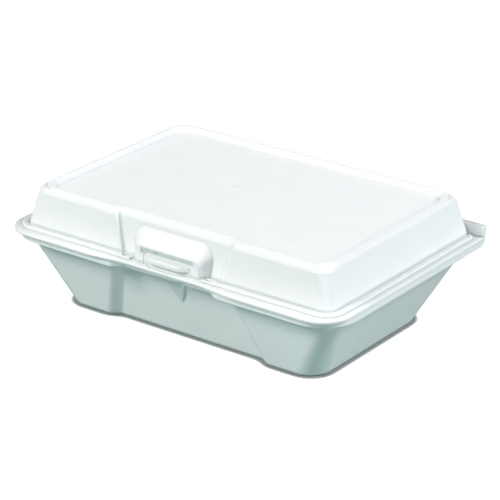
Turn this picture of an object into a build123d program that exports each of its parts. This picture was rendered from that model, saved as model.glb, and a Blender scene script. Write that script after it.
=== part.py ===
from build123d import *
from math import atan2, cos, radians, tan
import os

# Foam clamshell container: one sheet of white foam formed as a deep base and a lid on one crease.
# X runs along the length, -Y is the latch side, +Y the hinge side, and Z goes up from the foot.

# Overall size, lid closed
overall_length = 238.5
overall_depth = 160.2
overall_height = 75.4
lid_height = 27.1

# Foam
wall = 2.2
flange = 1.6
seam_gap = 0.4

# Base tray: how far the lip comes in from the lid's edge, and how the walls draw in to the foot
base_short_side = 0.5
base_short_front = 2.7
base_flange_side = 4.0
base_flange_front = 7.6
base_flange_back = 5.0
base_taper_side = 23.0
base_taper_front = 15.0
base_taper_back = 21.1
base_corner_foot = 15.0
base_corner_rim = 10.0
base_lip_corner = 23.0
foot_radius = 3.0
skirt_depth = 2.2
skirt_wall = 1.4

# Middle of the base front, set back between two slanted steps that spread towards the foot
base_step_depth = 4.2
base_step_run = 6.5
base_step_from_side = 79.1
base_step_spread = 16.6
base_step_blend = 3.0
base_lip_step_half = 32.0
base_lip_step_run = 6.0
base_lip_step_depth = 4.6

# Lid: wall foot in from the edge, wall taper, sloped shoulder and the raised ridge round a flat panel
lid_flange_side = 9.0
lid_flange_front = 11.2
lid_back_gap = 2.8
lid_taper_side = 4.8
lid_taper_front = 2.7
lid_taper_back = 3.1
lid_corner_foot = 5.0
lid_corner_shoulder = 9.5
lid_corner_ridge = 12.0
lid_lip_corner = 19.0
lip_bevel = 0.5
shoulder_run = 2.6
shoulder_drop = 3.7
shoulder_bend_run = 0.8
shoulder_bend_rise = 1.7
ridge_width = 2.7
ridge_step = 0.9
ridge_lean = 0.5
panel_drop = 3.2
panel_slope = 2.6

# Middle of the lid front, set back between two steep steps that soften towards the ridge
lid_step_depth = 2.4
lid_step_run = 0.8
lid_step_foot_half = 34.5
lid_step_spread = 6.2
lid_step_blend = 1.1
ridge_step_run = 6.0
ridge_step_blend = 5.0
lid_lip_step_half = 28.0
lid_lip_step_run = 22.0
lid_lip_step_depth = 3.0
lid_lip_blend = 30.0

# A step's outer edge is rounder than its inner one by this share
step_round = 1.6

# Bead that stiffens the lid flange, with a small pit where it ends beside the latch
bead_offset = 0.8
bead_width = 4.2
bead_height = 1.5
bead_radius = 1.2
bead_corner = 8.0
bead_gap_half = 26.0
bead_gap_back = 0.8
pit_length = 6.0
pit_width = 2.6
pit_end = 1.0
pit_depth = 2.2
pit_corner = 1.2

# Hinge strip that stands up behind the lid
hinge_rise = 8.4
hinge_web = 1.5
crease_gap = 0.4
hinge_lean = 1.2
hinge_lip = 2.6
hinge_lip_rise = 3.1
hinge_neck = 1.2
hinge_fold = 0.6
hinge_slope = 3.2

# Latch boss: a soft hollow bulge in the lid front with a slot near its top
slot_half = 19.4
slot_height = 3.9
slot_rise = 11.3
slot_corner = 1.2
boss_side = 4.6
boss_brow = 2.4
boss_bevel = 1.4
boss_flare = 5.0
boss_rise = 7.5
boss_corner = 4.0
boss_reach = 5.5
boss_radius = 0.9

# Latch tongue: a hooked tab on a pad of the base flange that fills the gap in the lid flange
tongue_half = 16.5
tongue_tip_half = 9.5
tongue_root = 3.0
tongue_reach = 3.4
tongue_rise = 7.4
tongue_tip = 3.0
tongue_bevel = 1.0
tongue_lip = 0.4
tongue_clearance = 0.6
tongue_corner = 1.0

# Gusset under the latch, and round denesting dimples in the base corners
gusset_half = 8.0
gusset_tip_half = 0.8
gusset_drop = 22.0
gusset_reach = 4.0
dimple_radius = 12.0
dimple_depth = 1.1
dimple_drop = 8.0

# Levels and outlines worked out from the sizes above
seam_height = overall_height - lid_height
shoulder_height = overall_height - shoulder_drop
hinge_height = seam_height + hinge_rise
hinge_lip_bottom = seam_height + hinge_lip_rise
slot_top = seam_height + slot_rise
base_top = seam_height - seam_gap / 2
base_flange_low = base_top - flange
skirt_low = base_flange_low - skirt_depth
lid_bottom = seam_height + seam_gap / 2
lid_flange_top = lid_bottom + flange
front_edge = overall_depth / 2
back_edge = overall_depth / 2
lid_half = overall_length / 2
base_lip_half = lid_half - base_short_side
base_lip_front = front_edge - base_short_front
base_rim_half = base_lip_half - base_flange_side
base_rim_front = base_lip_front - base_flange_front
base_rim_back = back_edge - base_flange_back
base_foot_half = base_rim_half - base_taper_side
base_foot_front = base_rim_front - base_taper_front
base_foot_back = base_rim_back - base_taper_back
lid_foot_half = lid_half - lid_flange_side
lid_foot_front = front_edge - lid_flange_front
lid_foot_back = back_edge - lid_back_gap
ridge_low = overall_height - ridge_step
panel_height = overall_height - panel_drop
crest = hinge_height - crease_gap / 2
crease_y = back_edge - hinge_web - crease_gap / 2
boss_face = lid_foot_front - lid_step_depth + boss_reach
least_corner = 0.5


class TrayOutline(BaseSketchObject):
    """Rounded rectangle whose front is set back in the middle; inset moves every side inwards."""

    def __init__(self, half, front, back, corner, back_corner, step=None, inset=0.0, mode=Mode.ADD):
        side, low, high = half - inset, inset - front, back - inset
        points = [(-side, high), (-side, low), (side, low), (side, high)]
        rounds = max(corner - inset, least_corner)
        back_rounds = max(back_corner - inset, 0.0)
        radii = [back_rounds, rounds, rounds, back_rounds]
        if step:
            near, run, depth, blend = step
            near += inset * tan(atan2(depth, run) / 2)
            outer = blend * step_round
            points[2:2] = [(-near - run, low), (-near, low + depth), (near, low + depth), (near + run, low)]
            radii[2:2] = [outer, blend, blend, outer]
        with BuildSketch() as shape:
            with BuildLine():
                FilletPolyline(*points, radius=radii, close=True)
            make_face()
        super().__init__(obj=shape.sketch, mode=mode)


class BossOutline(BaseSketchObject):
    """Front view of the latch boss, standing on the underside of the lid flange."""

    def __init__(self, half, top, corner, mode=Mode.ADD):
        with BuildSketch() as shape:
            with BuildLine():
                FilletPolyline(
                    (-half, lid_bottom), (-half, top), (half, top), (half, lid_bottom),
                    radius=[0, corner, corner, 0], close=True,
                )
            make_face()
        super().__init__(obj=shape.sketch, mode=mode)


class TongueOutline(BaseSketchObject):
    """Plan of the latch tongue, whose ends draw in towards its tip; grown by a clearance for its gap."""

    def __init__(self, clearance=0.0, mode=Mode.ADD):
        with BuildSketch() as shape:
            with BuildLine():
                Polyline(
                    (-tongue_half, -tongue_back), (-tongue_half, -boss_face),
                    (-tongue_tip_half, -tongue_nose), (tongue_tip_half, -tongue_nose),
                    (tongue_half, -boss_face), (tongue_half, -tongue_back), close=True,
                )
            make_face()
            if clearance > 0:
                offset(amount=clearance, kind=Kind.INTERSECTION)
        super().__init__(obj=shape.sketch, mode=mode)


def base_outline(height, inset=0.0):
    """Outline of the base wall at a height."""
    share = height / base_top
    half = base_foot_half + share * base_taper_side
    front = base_foot_front + share * base_taper_front
    back = base_foot_back + share * base_taper_back
    corner = base_corner_foot + share * (base_corner_rim - base_corner_foot)
    step_half = base_rim_half - base_step_from_side + (1 - share) * base_step_spread
    step = (step_half, base_step_run, base_step_depth, base_step_blend)
    return TrayOutline(half, front, back, corner, corner, step, inset)


def lid_outline(height, inset=0.0):
    """Outline of the lid wall at a height between the flange and the shoulder."""
    share = (height - lid_bottom) / (shoulder_height - lid_bottom)
    half = lid_foot_half - share * lid_taper_side
    front = lid_foot_front - share * lid_taper_front
    back = lid_foot_back - share * lid_taper_back
    corner = lid_corner_foot + share * (lid_corner_shoulder - lid_corner_foot)
    step_half = lid_step_foot_half + share * lid_step_spread
    step = (step_half, lid_step_run, lid_step_depth, lid_step_blend)
    return TrayOutline(half, front, back, corner, corner, step, inset)


def shoulder_outline(run, inset=0.0):
    """Outline of the lid's shoulder, or of the ridge above it, at a run in from the top of the wall."""
    share = run / shoulder_run
    half = lid_foot_half - lid_taper_side - run
    front = lid_foot_front - lid_taper_front - run
    back = lid_foot_back - lid_taper_back - run
    corner = lid_corner_shoulder + share * (lid_corner_ridge - lid_corner_shoulder)
    spread = share * (ridge_step_run - lid_step_run)
    blend = lid_step_blend + share * (ridge_step_blend - lid_step_blend)
    step_half = lid_step_foot_half + lid_step_spread - spread / 2
    step = (step_half, lid_step_run + spread, lid_step_depth, blend)
    return TrayOutline(half, front, back, corner, corner, step, inset)


# Tongue: a web that stands on its pad inside the boss and hooks out through the slot
tongue_back = boss_face - tongue_root
tongue_nose = boss_face + tongue_reach
tongue_high = base_top + tongue_rise
tongue_under = tongue_high - tongue_tip
with BuildPart() as tongue:
    with BuildSketch(Plane.YZ.offset(-tongue_half)):
        with BuildLine():
            Polyline(
                (-tongue_back, base_flange_low), (-tongue_nose, base_flange_low),
                (-tongue_nose, lid_flange_top), (-boss_face, lid_flange_top),
                (-boss_face, tongue_under), (-tongue_nose, tongue_under),
                (-tongue_nose, tongue_high - tongue_bevel),
                (-tongue_nose + tongue_bevel, tongue_high - tongue_lip),
                (-tongue_back, tongue_high), close=True,
            )
        make_face()
    extrude(amount=2 * tongue_half)
    with BuildSketch(Plane.XY.offset(base_flange_low)):
        TongueOutline()
    extrude(amount=tongue_high - base_flange_low, mode=Mode.INTERSECT)
    fillet(tongue.edges().filter_by(Axis.Z).group_by(Axis.Y)[0], tongue_corner)

# Base: tapered tray with a skirted flange, the rear half of the hinge strip and the latch tongue
base_back = back_edge - hinge_lean
skirt_back = base_back - hinge_slope
base_lip_step = (base_lip_step_half, base_lip_step_run, base_lip_step_depth, base_step_blend)
with BuildPart() as base:
    with BuildSketch(Plane.XY):
        base_outline(0)
    with BuildSketch(Plane.XY.offset(base_top)):
        base_outline(base_top)
    loft(ruled=True)
    fillet(base.faces().sort_by(Axis.Z)[0].edges(), foot_radius)
    # Denesting dimples, one in each corner under the flange
    dimple_height = base_top - dimple_drop
    dimple_share = dimple_height / base_top
    dimple_corner = base_corner_foot + dimple_share * (base_corner_rim - base_corner_foot)
    dimple_inset = dimple_corner * (1 - cos(radians(45)))
    dimple_out = (dimple_radius - dimple_depth) * cos(radians(45)) - dimple_inset
    dimple_x = base_foot_half + dimple_share * base_taper_side + dimple_out
    dimple_front = base_foot_front + dimple_share * base_taper_front + dimple_out
    dimple_back = base_foot_back + dimple_share * base_taper_back + dimple_out
    for x in (-dimple_x, dimple_x):
        with Locations((x, -dimple_front, dimple_height), (x, dimple_back, dimple_height)):
            Sphere(dimple_radius, mode=Mode.SUBTRACT)
    # Flange and its turned-down skirt
    with BuildSketch(Plane.XY.offset(base_flange_low)):
        TrayOutline(base_lip_half, base_lip_front, base_back, base_lip_corner, 0, base_lip_step)
    extrude(amount=flange)
    with BuildSketch(Plane.XY.offset(skirt_low)):
        TrayOutline(base_lip_half, base_lip_front, skirt_back, base_lip_corner, 0, base_lip_step)
        TrayOutline(
            base_lip_half, base_lip_front, skirt_back, base_lip_corner, 0, base_lip_step,
            inset=skirt_wall, mode=Mode.SUBTRACT,
        )
    extrude(amount=skirt_depth)
    # Rear half of the hinge strip, sloping up from the skirt
    with BuildSketch(Plane.YZ.offset(-base_lip_half)):
        with BuildLine():
            Polyline(
                (skirt_back - skirt_wall, skirt_low), (skirt_back, skirt_low), (base_back, base_top),
                (back_edge, crest), (back_edge - hinge_web, crest), (base_back - hinge_web, base_flange_low),
                close=True,
            )
        make_face()
    extrude(amount=2 * base_lip_half)
    # Gusset under the latch
    gusset_foot = base_flange_low - gusset_drop
    gusset_wall = base_foot_front + gusset_foot / base_top * base_taper_front - base_step_depth
    gusset_front = base_rim_front - base_step_depth + gusset_reach
    with BuildSketch(Plane.XY.offset(base_flange_low)):
        with Locations((0, -gusset_front)):
            Rectangle(2 * gusset_half, gusset_front - gusset_wall + wall, align=(Align.CENTER, Align.MIN))
    with BuildSketch(Plane.XY.offset(gusset_foot)):
        with Locations((0, -gusset_wall)):
            Rectangle(2 * gusset_tip_half, wall, align=(Align.CENTER, Align.MIN))
    loft(ruled=True)
    # Hollow
    with BuildSketch(Plane.XY.offset(wall)):
        base_outline(wall, inset=wall)
    with BuildSketch(Plane.XY.offset(base_top)):
        base_outline(base_top, inset=wall)
    loft(ruled=True, mode=Mode.SUBTRACT)
    add(tongue.part)
base.part.label = "base"

# Bead round three sides of the lid flange, left open at the latch
with BuildPart() as bead:
    bead_far = bead_offset + bead_width
    bead_end = lid_foot_back - hinge_lip - bead_gap_back
    with BuildSketch(Plane.XY.offset(lid_flange_top)):
        TrayOutline(lid_foot_half, lid_foot_front, bead_end - bead_far, bead_corner, 0, inset=-bead_far)
        TrayOutline(
            lid_foot_half, lid_foot_front, bead_end, bead_corner, 0, inset=-bead_offset, mode=Mode.SUBTRACT,
        )
        with Locations((0, -lid_foot_front)):
            Rectangle(2 * bead_gap_half, 2 * (bead_far + bead_width), mode=Mode.SUBTRACT)
    extrude(amount=bead_height)
    fillet(bead.faces().sort_by(Axis.Z)[-2:].edges(), bead_radius)

# Flange of the lid, with a bevelled edge on its three free sides
lid_lip_step = (lid_lip_step_half, lid_lip_step_run, lid_lip_step_depth, lid_lip_blend)
with BuildPart() as brim:
    with BuildSketch(Plane.XY.offset(lid_bottom)):
        TrayOutline(lid_half, front_edge, lid_foot_back, lid_lip_corner, 0, lid_lip_step)
    extrude(amount=flange)
    chamfer(brim.faces().sort_by(Axis.Z)[-1].edges().sort_by(Axis.Y)[:-1], lip_bevel)

# Boss of the latch, leaning out of the front wall, with soft edges
boss_back = lid_foot_front - lid_taper_front - lid_step_depth
boss_top = slot_top + boss_brow
boss_half = slot_half + boss_side
with BuildPart() as boss:
    with BuildSketch(Plane.XZ.offset(boss_back)):
        BossOutline(boss_half + boss_flare, boss_top + boss_rise, boss_corner + boss_flare)
    with BuildSketch(Plane.XZ.offset(boss_face - boss_bevel)):
        BossOutline(boss_half, boss_top, boss_corner)
    with BuildSketch(Plane.XZ.offset(boss_face)):
        BossOutline(boss_half - boss_bevel, boss_top - boss_bevel, boss_corner - boss_bevel / 2)
    loft(ruled=True)
    fillet(boss.faces().sort_by(Axis.Y)[0].edges().sort_by(Axis.Z)[1:], boss_radius)

# Lid: shallow hollow cap with a shoulder, a ridge round its panel, a beaded flange and the slotted boss
with BuildPart() as lid:
    with BuildSketch(Plane.XY.offset(lid_bottom)):
        lid_outline(lid_bottom)
    with BuildSketch(Plane.XY.offset(shoulder_height)):
        lid_outline(shoulder_height)
    loft(ruled=True)
    # Shoulder that bends over in two slopes, and the ridge on it
    with BuildSketch(Plane.XY.offset(shoulder_height)):
        shoulder_outline(0)
    with BuildSketch(Plane.XY.offset(shoulder_height + shoulder_bend_rise)):
        shoulder_outline(shoulder_bend_run)
    with BuildSketch(Plane.XY.offset(ridge_low)):
        shoulder_outline(shoulder_run)
    with BuildSketch(Plane.XY.offset(overall_height)):
        shoulder_outline(shoulder_run, inset=ridge_lean)
    loft(ruled=True)
    # Sunk panel inside the ridge
    with BuildSketch(Plane.XY.offset(panel_height)):
        shoulder_outline(shoulder_run, inset=ridge_width + panel_slope)
    with BuildSketch(Plane.XY.offset(overall_height)):
        shoulder_outline(shoulder_run, inset=ridge_width)
    loft(ruled=True, mode=Mode.SUBTRACT)
    add(brim.part)
    # Front half of the hinge strip, folded over above the flange
    strip_back = crease_y - crease_gap / 2
    strip_front = strip_back - hinge_lip
    with BuildSketch(Plane.YZ.offset(-lid_half)):
        with BuildLine():
            Polyline(
                (strip_front, lid_bottom), (lid_foot_back, lid_bottom),
                (strip_back, crest), (strip_front, crest),
                (strip_front - hinge_fold, hinge_lip_bottom), (lid_foot_back - hinge_neck, hinge_lip_bottom),
                (lid_foot_back - hinge_neck, lid_flange_top), (strip_front, lid_flange_top), close=True,
            )
        make_face()
    extrude(amount=2 * lid_half)
    add(boss.part)
    add(bead.part)
    # Pits where the bead ends
    pit_middle = bead_gap_half + pit_end + pit_length / 2
    bead_middle = lid_foot_front + bead_offset + bead_width / 2
    with BuildSketch(Plane.XY.offset(lid_flange_top + bead_height)):
        with Locations((-pit_middle, -bead_middle), (pit_middle, -bead_middle)):
            RectangleRounded(pit_length, pit_width, pit_corner)
    extrude(amount=-pit_depth, mode=Mode.SUBTRACT)
    # Hollow
    with BuildSketch(Plane.XY.offset(lid_bottom)):
        lid_outline(lid_bottom, inset=wall)
    with BuildSketch(Plane.XY.offset(panel_height - wall)):
        lid_outline(panel_height - wall, inset=wall)
    loft(ruled=True, mode=Mode.SUBTRACT)
    # Hollow of the boss, open to the inside and below
    with BuildSketch(Plane.XZ.offset(boss_back - wall)):
        BossOutline(boss_half + boss_flare - wall, boss_top + boss_rise - wall, boss_corner)
    with BuildSketch(Plane.XZ.offset(boss_face - wall)):
        BossOutline(boss_half - wall, boss_top - wall, boss_corner - wall)
    loft(ruled=True, mode=Mode.SUBTRACT)
    # Slot, and the gap below it through which the tongue passes as the lid turns
    with BuildSketch(Plane.XZ.offset(boss_face - wall)):
        with Locations((0, slot_top - slot_height / 2)):
            RectangleRounded(2 * slot_half, slot_height, slot_corner)
    extrude(amount=2 * wall, mode=Mode.SUBTRACT)
    with BuildSketch(Plane.XY.offset(lid_bottom)):
        TongueOutline(clearance=tongue_clearance)
    extrude(amount=slot_top - slot_height / 2 - lid_bottom, mode=Mode.SUBTRACT)
lid.part.label = "lid"

os.makedirs("parts", exist_ok=True)
export_step(base.part, "parts/base.step")
export_step(lid.part, "parts/lid.step")
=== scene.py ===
"""Foam clamshell container: finishes its halves, adds dimple skins and a pin mark, and lights the set."""
from math import atan2, cos, pi, radians, sin

import bmesh
import bpy
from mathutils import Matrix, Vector


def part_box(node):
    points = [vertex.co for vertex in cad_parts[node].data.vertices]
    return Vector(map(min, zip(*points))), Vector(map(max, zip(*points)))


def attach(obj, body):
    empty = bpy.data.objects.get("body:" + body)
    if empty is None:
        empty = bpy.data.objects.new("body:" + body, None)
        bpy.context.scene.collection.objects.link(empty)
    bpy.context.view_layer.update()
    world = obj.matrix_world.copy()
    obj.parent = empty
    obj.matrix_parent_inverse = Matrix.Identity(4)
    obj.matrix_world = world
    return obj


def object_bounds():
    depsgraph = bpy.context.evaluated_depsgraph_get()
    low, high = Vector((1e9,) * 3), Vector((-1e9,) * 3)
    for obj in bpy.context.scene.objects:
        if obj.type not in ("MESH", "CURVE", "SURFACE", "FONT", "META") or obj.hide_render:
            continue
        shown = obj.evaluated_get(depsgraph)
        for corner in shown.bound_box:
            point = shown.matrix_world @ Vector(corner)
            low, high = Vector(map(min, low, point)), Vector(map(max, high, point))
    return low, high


bl_info = {
    "name": "Foam Clamshell Container",
    "version": (1, 0, 0),
    "blender": (4, 5, 0),
    "location": "3D View > Sidebar > Foam Box",
    "description": "Dresses a hinged foam food container and sets its studio",
    "category": "Object",
}

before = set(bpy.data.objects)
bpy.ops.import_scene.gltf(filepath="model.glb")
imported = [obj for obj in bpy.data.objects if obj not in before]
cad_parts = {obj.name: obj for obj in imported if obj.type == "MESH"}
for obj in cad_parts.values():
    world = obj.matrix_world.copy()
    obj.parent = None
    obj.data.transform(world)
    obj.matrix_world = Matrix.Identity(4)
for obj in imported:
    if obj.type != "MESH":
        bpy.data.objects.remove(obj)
CAD_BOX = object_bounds()
MM = 0.001
# Depth of the lid's panel below the ridge round it
PANEL_DROP = 3.2 * MM
# Ball that presses each denesting dimple into the tray's corner, and its place in from the box's faces
BALL_RADIUS = 12 * MM
BALL_HEIGHT = 40.1 * MM
BALL_FROM_SIDE = 3.79 * MM
BALL_FROM_FRONT = 8.26 * MM
BALL_FROM_BACK = 3.97 * MM
# Patch of the ball that a dimple skin follows, as angles at the ball's centre
SKIN_HALF_WIDTH = radians(26)
SKIN_LOW = radians(4)
SKIN_HIGH = radians(37)
# Depth of the skin's outer face past the ball, thickness at the rim, and what the middle swells by
SKIN_INSET = 0.05 * MM
SKIN_THICKNESS = 0.05 * MM
SKIN_SWELL = 1 * MM
# Camera's sensor in millimetres, and its reach and the table's edge in metres
SENSOR_WIDTH = 36.0
CAMERA_REACH = 20.0
TABLE_EDGE = 8.0


def srgb(text):
    """Linear red, green, blue and alpha of an sRGB hex colour."""
    parts = [int(text[i:i + 2], 16) / 255 for i in (0, 2, 4)]
    linear = [c / 12.92 if c <= 0.04045 else ((c + 0.055) / 1.055) ** 2.4 for c in parts]
    return (*linear, 1.0)


WHITE = srgb("FFFFFF")


def add_node(tree, kind, settings=None, inputs=None):
    """Add a shader node, set its properties, then set or link its inputs by name or number."""
    node = tree.nodes.new(kind)
    for name, value in (settings or {}).items():
        setattr(node, name, value)
    for name, value in (inputs or {}).items():
        if isinstance(value, bpy.types.NodeSocket):
            tree.links.new(value, node.inputs[name])
        else:
            node.inputs[name].default_value = value
    return node


def empty_tree(owner):
    """Node tree of a material or a world, with nothing in it yet."""
    owner.use_nodes = True
    owner.node_tree.nodes.clear()
    return owner.node_tree


class FoamSettings(bpy.types.PropertyGroup):
    """Finish of the formed polystyrene foam."""

    colour: bpy.props.FloatVectorProperty(
        name="Foam", description="Colour of the foam's skin", subtype="COLOR", size=4,
        min=0, max=1, default=srgb("F2F4F4"),
    )
    shade: bpy.props.FloatVectorProperty(
        name="Shaded foam", description="Colour of the slightly denser patches of the skin",
        subtype="COLOR", size=4, min=0, max=1, default=srgb("ECEFF0"),
    )
    # Painted shade for inner corners and grooves, mixed in by ambient occlusion
    crease_shade: bpy.props.FloatVectorProperty(
        name="Painted crease shade", description="Colour of the skin in inner corners and grooves",
        subtype="COLOR", size=4, min=0, max=1, default=srgb("D6DEDE"),
    )
    cell: bpy.props.FloatProperty(
        name="Cell", description="Width of one flattened foam cell under the skin", unit="LENGTH",
        min=0.0002, max=0.01, default=0.9 * MM,
    )
    pin_mark_place: bpy.props.FloatVectorProperty(
        name="Pin mark", description="Place of the mould's pin mark on the lid's panel", subtype="XYZ",
        size=2, unit="LENGTH", default=(-13.2 * MM, 9.2 * MM),
    )
    pin_mark_radius: bpy.props.FloatProperty(
        name="Pin mark radius", description="Radius of the mould's pin mark", unit="LENGTH",
        min=0.0005, max=0.01, default=1.8 * MM,
    )


class StageSettings(bpy.types.PropertyGroup):
    """Place and lens of the studio's camera."""

    azimuth: bpy.props.FloatProperty(
        name="Azimuth", description="Turn of the camera from the box's front towards its right end",
        subtype="ANGLE", default=radians(36.72),
    )
    elevation: bpy.props.FloatProperty(
        name="Elevation", description="Height of the camera above the table, as an angle",
        subtype="ANGLE", default=radians(23.05),
    )
    distance: bpy.props.FloatProperty(
        name="Distance", description="Camera distance from its target", unit="LENGTH", default=1.3389,
    )
    lens: bpy.props.FloatProperty(
        name="Lens", description="Focal length for a 36 mm sensor", subtype="DISTANCE_CAMERA", default=162.4,
    )
    target: bpy.props.FloatVectorProperty(
        name="Target", description="Point the camera looks at", subtype="XYZ", unit="LENGTH",
        default=(2.3 * MM, 3.9 * MM, 37 * MM),
    )


def polystyrene_foam(name, settings):
    """Formed polystyrene foam: a pale satin skin over flattened cells, faintly mottled and soft to light,
    with painted shade in its creases and a painted glow inside the closed box.
    """
    material = bpy.data.materials.new(name)
    tree = empty_tree(material)
    place = add_node(tree, "ShaderNodeTexCoord").outputs["Object"]
    # Flattened cells, as wide as one bead of the foam
    cells = add_node(
        tree, "ShaderNodeTexVoronoi", {"feature": "F1"},
        {"Vector": place, "Scale": 1 / settings.cell, "Randomness": 1.0},
    )
    # Slow density changes, as the sheet stretched in the mould
    patch_width = 18 * MM
    cloud = add_node(
        tree, "ShaderNodeTexNoise", None,
        {"Vector": place, "Scale": 1 / patch_width, "Detail": 3.0, "Roughness": 0.5},
    )
    tint = add_node(
        tree, "ShaderNodeMix", {"data_type": "RGBA"},
        {"Factor": cloud.outputs["Fac"], 6: settings.colour, 7: settings.shade},
    )
    # Painted shade: inner corners and grooves are darkened by ambient occlusion, standing in for the shade
    # that falls there
    crease = add_node(tree, "ShaderNodeAmbientOcclusion", {"samples": 16}, {"Distance": 2 * MM})
    open_skin = add_node(
        tree, "ShaderNodeMapRange", None,
        {"Value": crease.outputs["AO"], "From Min": 0.78, "From Max": 0.97, "To Min": 0.0, "To Max": 1.0},
    )
    skin = add_node(
        tree, "ShaderNodeMix", {"data_type": "RGBA"},
        {"Factor": open_skin.outputs["Result"], 6: settings.crease_shade, 7: tint.outputs[2]},
    )
    # The cells show as a faint grain, far shallower than they are wide
    bump = add_node(
        tree, "ShaderNodeBump", None,
        {"Strength": 0.25, "Distance": 0.05 * MM, "Height": cells.outputs["Distance"]},
    )
    # Painted light: an emission glow where the closed box shuts out all other light, standing in for light
    # that comes through the thin foam
    enclosed = add_node(tree, "ShaderNodeAmbientOcclusion", {"samples": 8}, {"Distance": 300 * MM})
    glow = add_node(
        tree, "ShaderNodeMapRange", {"interpolation_type": "SMOOTHSTEP"},
        {"Value": enclosed.outputs["AO"], "From Min": 0.25, "From Max": 0.05, "To Min": 0.0, "To Max": 0.15},
    )
    # Satin skin that lets light spread a little way under it
    spread = 1.5 * MM
    surface = add_node(
        tree, "ShaderNodeBsdfPrincipled", None,
        {
            "Base Color": skin.outputs[2], "Roughness": 0.5, "IOR": 1.45,
            "Subsurface Weight": 0.6, "Subsurface Scale": 1.0,
            "Subsurface Radius": (spread, spread, spread), "Normal": bump.outputs["Normal"],
            "Emission Color": srgb("E6F2EA"), "Emission Strength": glow.outputs["Result"],
        },
    )
    add_node(tree, "ShaderNodeOutputMaterial", None, {"Surface": surface.outputs["BSDF"]})
    return material


def give_foam(piece, part, settings):
    """Make formed polystyrene foam, named for the part, the only material of a piece."""
    piece.data.materials.clear()
    piece.data.materials.append(polystyrene_foam(f"formed polystyrene foam {part}", settings))


class FOAMBOX_OT_base(bpy.types.Operator):
    """Finish the base tray"""

    bl_idname = "foambox.base"
    bl_label = "Finish Base"

    def execute(self, context):
        give_foam(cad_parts["base"], "base", context.scene.foam_finish)
        return {"FINISHED"}


class FOAMBOX_OT_dimple_skins(bpy.types.Operator):
    """Cover most of the opening at each denesting dimple in the tray's corners with a domed skin"""

    bl_idname = "foambox.dimple_skins"
    bl_label = "Add Dimple Skins"

    def execute(self, context):
        settings = context.scene.foam_finish
        low, high = CAD_BOX
        # Each row's and column's name, the ball's place there, and which way along y or x the tray lies
        rows = (("front", low[1] + BALL_FROM_FRONT, 1), ("back", high[1] - BALL_FROM_BACK, -1))
        columns = (("left", low[0] + BALL_FROM_SIDE, 1), ("right", high[0] - BALL_FROM_SIDE, -1))
        for row, y, turn_y in rows:
            for column, x, turn_x in columns:
                centre = Vector((x, y, BALL_HEIGHT))
                heading = atan2(turn_y, turn_x)
                skin = dimple_skin(f"dimple_skin_{row}_{column}", centre, heading, steps=12)
                give_foam(skin, f"{row} {column} dimple", settings)
                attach(skin, "base")
        return {"FINISHED"}


def dimple_skin(name, centre, heading, steps):
    """Low blister over the inside of one dimple: a patch of the ball and a dome on it, joined by a rim."""
    mesh = bmesh.new()
    middle = (SKIN_LOW + SKIN_HIGH) / 2
    half_height = (SKIN_HIGH - SKIN_LOW) / 2
    # Side 0 lies just past the ball, with most of its edge inside the foam, and side 1 swells into the tray
    # The top edge stops up to 1.3 mm short of the foam, and the lower corners stand up to 0.8 mm out of it
    skins = {}
    for side in (0, 1):
        for i in range(steps + 1):
            for j in range(steps + 1):
                u, v = 2 * i / steps - 1, 2 * j / steps - 1
                turn = heading + u * SKIN_HALF_WIDTH
                rise = middle + v * half_height
                depth = SKIN_INSET + side * (SKIN_THICKNESS + SKIN_SWELL * (1 - u * u) * (1 - v * v))
                way = Vector((cos(rise) * cos(turn), cos(rise) * sin(turn), sin(rise)))
                skins[side, i, j] = mesh.verts.new(centre + way * (BALL_RADIUS + depth))
    for side in (0, 1):
        for i in range(steps):
            for j in range(steps):
                corners = ((i, j), (i + 1, j), (i + 1, j + 1), (i, j + 1))
                mesh.faces.new([skins[side, a, b] for a, b in corners])
    # Rim between the two sides
    rim = [(i, 0) for i in range(steps)] + [(steps, j) for j in range(steps)]
    rim += [(i, steps) for i in range(steps, 0, -1)] + [(0, j) for j in range(steps, 0, -1)]
    for (a, b), (c, d) in zip(rim, rim[1:] + rim[:1]):
        mesh.faces.new((skins[0, a, b], skins[0, c, d], skins[1, c, d], skins[1, a, b]))
    return finished_mesh(name, mesh)


class FOAMBOX_OT_lid(bpy.types.Operator):
    """Finish the lid"""

    bl_idname = "foambox.lid"
    bl_label = "Finish Lid"

    def execute(self, context):
        give_foam(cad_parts["lid"], "lid", context.scene.foam_finish)
        return {"FINISHED"}


class FOAMBOX_OT_pin_mark(bpy.types.Operator):
    """Raise the small ring that a pin of the mould left on the lid's panel"""

    bl_idname = "foambox.pin_mark"
    bl_label = "Add Pin Mark"

    def execute(self, context):
        settings = context.scene.foam_finish
        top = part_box("lid")[1][2] - PANEL_DROP
        x, y = settings.pin_mark_place
        # Radius and height in millimetres of a low ring with a dimple in it, sunk 0.4 mm into the foam
        profile = [(0.5, 0.12), (0.9, 0.3), (1.2, 0.34), (1.5, 0.2), (1.75, 0.0), (1.8, -0.4)]
        scale = settings.pin_mark_radius / profile[-1][0]
        mark = turned_body("pin_mark", profile, scale, (x, y, top), steps=32)
        give_foam(mark, "pin mark", settings)
        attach(mark, "lid")
        return {"FINISHED"}


def turned_body(name, profile, scale, place, steps):
    """Closed body turned about a vertical axis, with a flat top and underside; scale is for its radii."""
    mesh = bmesh.new()
    x, y, z = place
    turns = [2 * pi * i / steps for i in range(steps)]
    rings = [
        [
            mesh.verts.new((x + r * scale * cos(turn), y + r * scale * sin(turn), z + h * MM))
            for turn in turns
        ]
        for r, h in profile
    ]
    mesh.faces.new(rings[0])
    mesh.faces.new(list(reversed(rings[-1])))
    for upper, lower in zip(rings, rings[1:]):
        for i in range(steps):
            j = (i + 1) % steps
            mesh.faces.new((upper[i], lower[i], lower[j], upper[j]))
    return finished_mesh(name, mesh)


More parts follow.
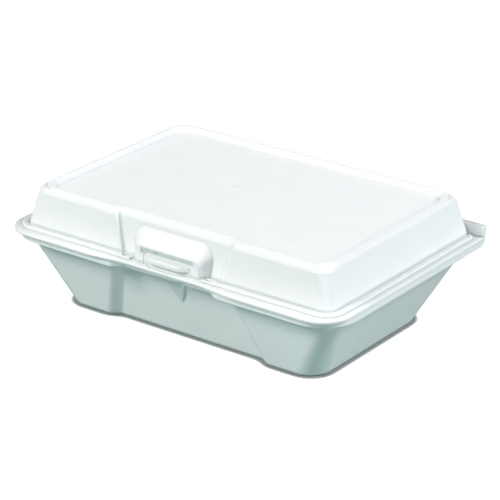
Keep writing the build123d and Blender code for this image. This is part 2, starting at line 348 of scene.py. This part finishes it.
def finished_mesh(name, mesh):
    """Smooth-shaded object made from a closed bmesh."""
    bmesh.ops.recalc_face_normals(mesh, faces=mesh.faces)
    data = bpy.data.meshes.new(name)
    mesh.to_mesh(data)
    mesh.free()
    for face in data.polygons:
        face.use_smooth = True
    piece = bpy.data.objects.new(name, data)
    bpy.context.scene.collection.objects.link(piece)
    return piece


class FOAMBOX_OT_stage(bpy.types.Operator):
    """Set the table, the soft lights and the camera"""

    bl_idname = "foambox.stage"
    bl_label = "Set Stage"

    def execute(self, context):
        scene = context.scene
        set_camera(scene, scene.foam_stage)
        bpy.ops.mesh.primitive_plane_add(size=TABLE_EDGE, location=(0, 0, 0))
        floor = context.active_object
        floor.name = "table"
        floor.data.materials.append(white_table())
        scene.world = studio_world()
        # Name, place and width in metres, power in watts, and colour of each lamp
        lamps = (
            ("key softbox", (-1.16, -2.01, 1.73), 1.0, 70.0, "FFFDFB"),
            ("side softbox", (2.25, 0.69, 1.69), 1.2, 68.0, "FDFCFF"),
            ("front fill", (1.89, -2.25, 0.66), 1.6, 18.0, "FFFEFC"),
            ("back fill", (-1.26, 2.70, 0.35), 1.6, 12.0, "FFFFFF"),
        )
        middle_of_box = (0, 0, 40 * MM)
        for name, place, width, power, colour in lamps:
            add_area_light(name, place, width, power, middle_of_box, colour)
        scene.view_settings.view_transform = "Standard"
        return {"FINISHED"}


def set_camera(scene, stage):
    """Long-lens camera at the photograph's viewing angle."""
    level = cos(stage.elevation)
    back = Vector((sin(stage.azimuth) * level, -cos(stage.azimuth) * level, sin(stage.elevation)))
    data = bpy.data.cameras.new("photo camera")
    data.sensor_width = SENSOR_WIDTH
    data.lens = stage.lens
    data.clip_end = CAMERA_REACH
    camera = bpy.data.objects.new("photo camera", data)
    scene.collection.objects.link(camera)
    camera.location = Vector(stage.target) + back * stage.distance
    camera.rotation_euler = (-back).to_track_quat("-Z", "Y").to_euler()
    scene.camera = camera


def add_area_light(name, place, width, power, target, colour):
    """Soft square lamp that faces a target."""
    data = bpy.data.lights.new(name, "AREA")
    data.shape = "RECTANGLE"
    data.size = data.size_y = width
    data.energy = power
    data.color = srgb(colour)[:3]
    lamp = bpy.data.objects.new(name, data)
    bpy.context.scene.collection.objects.link(lamp)
    lamp.location = place
    lamp.rotation_euler = (Vector(target) - Vector(place)).to_track_quat("-Z", "Y").to_euler()


def studio_world():
    """World that the camera sees as plain white, and that lights the box with a faint cool fill."""
    world = bpy.data.worlds.new("studio")
    tree = empty_tree(world)
    rays = add_node(tree, "ShaderNodeLightPath")
    seen = add_node(
        tree, "ShaderNodeMath", {"operation": "MAXIMUM"},
        {0: rays.outputs["Is Camera Ray"], 1: rays.outputs["Is Transmission Ray"]},
    )
    fill = add_node(tree, "ShaderNodeBackground", None, {"Color": srgb("DCEBF0"), "Strength": 0.1})
    white = add_node(tree, "ShaderNodeBackground", None, {"Color": WHITE, "Strength": 1.0})
    mix = add_node(
        tree, "ShaderNodeMixShader", None,
        {0: seen.outputs[0], 1: fill.outputs[0], 2: white.outputs[0]},
    )
    add_node(tree, "ShaderNodeOutputWorld", None, {"Surface": mix.outputs[0]})
    return world


def white_table():
    """Matt white sweep: white to the camera, with the box's own soft shadow kept and a painted contact
    shadow at its foot.
    """
    material = bpy.data.materials.new("matt white sweep")
    tree = empty_tree(material)
    rays = add_node(tree, "ShaderNodeLightPath")
    # What the box sees of the table: a cool grey green, which tints the undersides of its leaning walls
    bounce = add_node(tree, "ShaderNodeBsdfDiffuse", None, {"Color": srgb("5E8783")})
    # What the camera sees: a matt grey that takes the shadow, with a glow that brings it up to white
    matt = add_node(tree, "ShaderNodeBsdfDiffuse", None, {"Color": srgb("939595")})
    # Painted contact shadow: the glow fades close to the foot by ambient occlusion, which leaves a dark line
    # where the box stands on the table
    contact = add_node(tree, "ShaderNodeAmbientOcclusion", {"samples": 16}, {"Distance": 5 * MM})
    clear = add_node(
        tree, "ShaderNodeMapRange", {"interpolation_type": "SMOOTHSTEP"},
        {"Value": contact.outputs["AO"], "From Min": 0.5, "From Max": 0.8, "To Min": 0.0, "To Max": 0.91},
    )
    glow = add_node(
        tree, "ShaderNodeEmission", None, {"Color": WHITE, "Strength": clear.outputs["Result"]},
    )
    bright = add_node(tree, "ShaderNodeAddShader", None, {0: matt.outputs[0], 1: glow.outputs[0]})
    mix = add_node(
        tree, "ShaderNodeMixShader", None,
        {0: rays.outputs["Is Camera Ray"], 1: bounce.outputs[0], 2: bright.outputs[0]},
    )
    add_node(tree, "ShaderNodeOutputMaterial", None, {"Surface": mix.outputs[0]})
    return material


class FOAMBOX_PT_panel(bpy.types.Panel):
    """Sidebar panel with the box's settings and a button for each piece and the stage"""

    bl_idname = "FOAMBOX_PT_panel"
    bl_label = "Foam Clamshell Container"
    bl_space_type = "VIEW_3D"
    bl_region_type = "UI"
    bl_category = "Foam Box"

    def draw(self, context):
        layout = self.layout
        for group in (context.scene.foam_finish, context.scene.foam_stage):
            for name in group.__annotations__:
                layout.prop(group, name)
        for operator in OPERATORS:
            layout.operator(operator.bl_idname)


OPERATORS = (
    FOAMBOX_OT_base, FOAMBOX_OT_dimple_skins, FOAMBOX_OT_lid, FOAMBOX_OT_pin_mark, FOAMBOX_OT_stage,
)
CLASSES = (FoamSettings, StageSettings, *OPERATORS, FOAMBOX_PT_panel)


def register():
    for cls in CLASSES:
        bpy.utils.register_class(cls)
    bpy.types.Scene.foam_finish = bpy.props.PointerProperty(type=FoamSettings)
    bpy.types.Scene.foam_stage = bpy.props.PointerProperty(type=StageSettings)


def unregister():
    del bpy.types.Scene.foam_stage
    del bpy.types.Scene.foam_finish
    for cls in reversed(CLASSES):
        bpy.utils.unregister_class(cls)


def main():
    register()
    bpy.ops.foambox.base()
    bpy.ops.foambox.dimple_skins()
    bpy.ops.foambox.lid()
    bpy.ops.foambox.pin_mark()
    bpy.ops.foambox.stage()


if __name__ == "__main__":
    main()
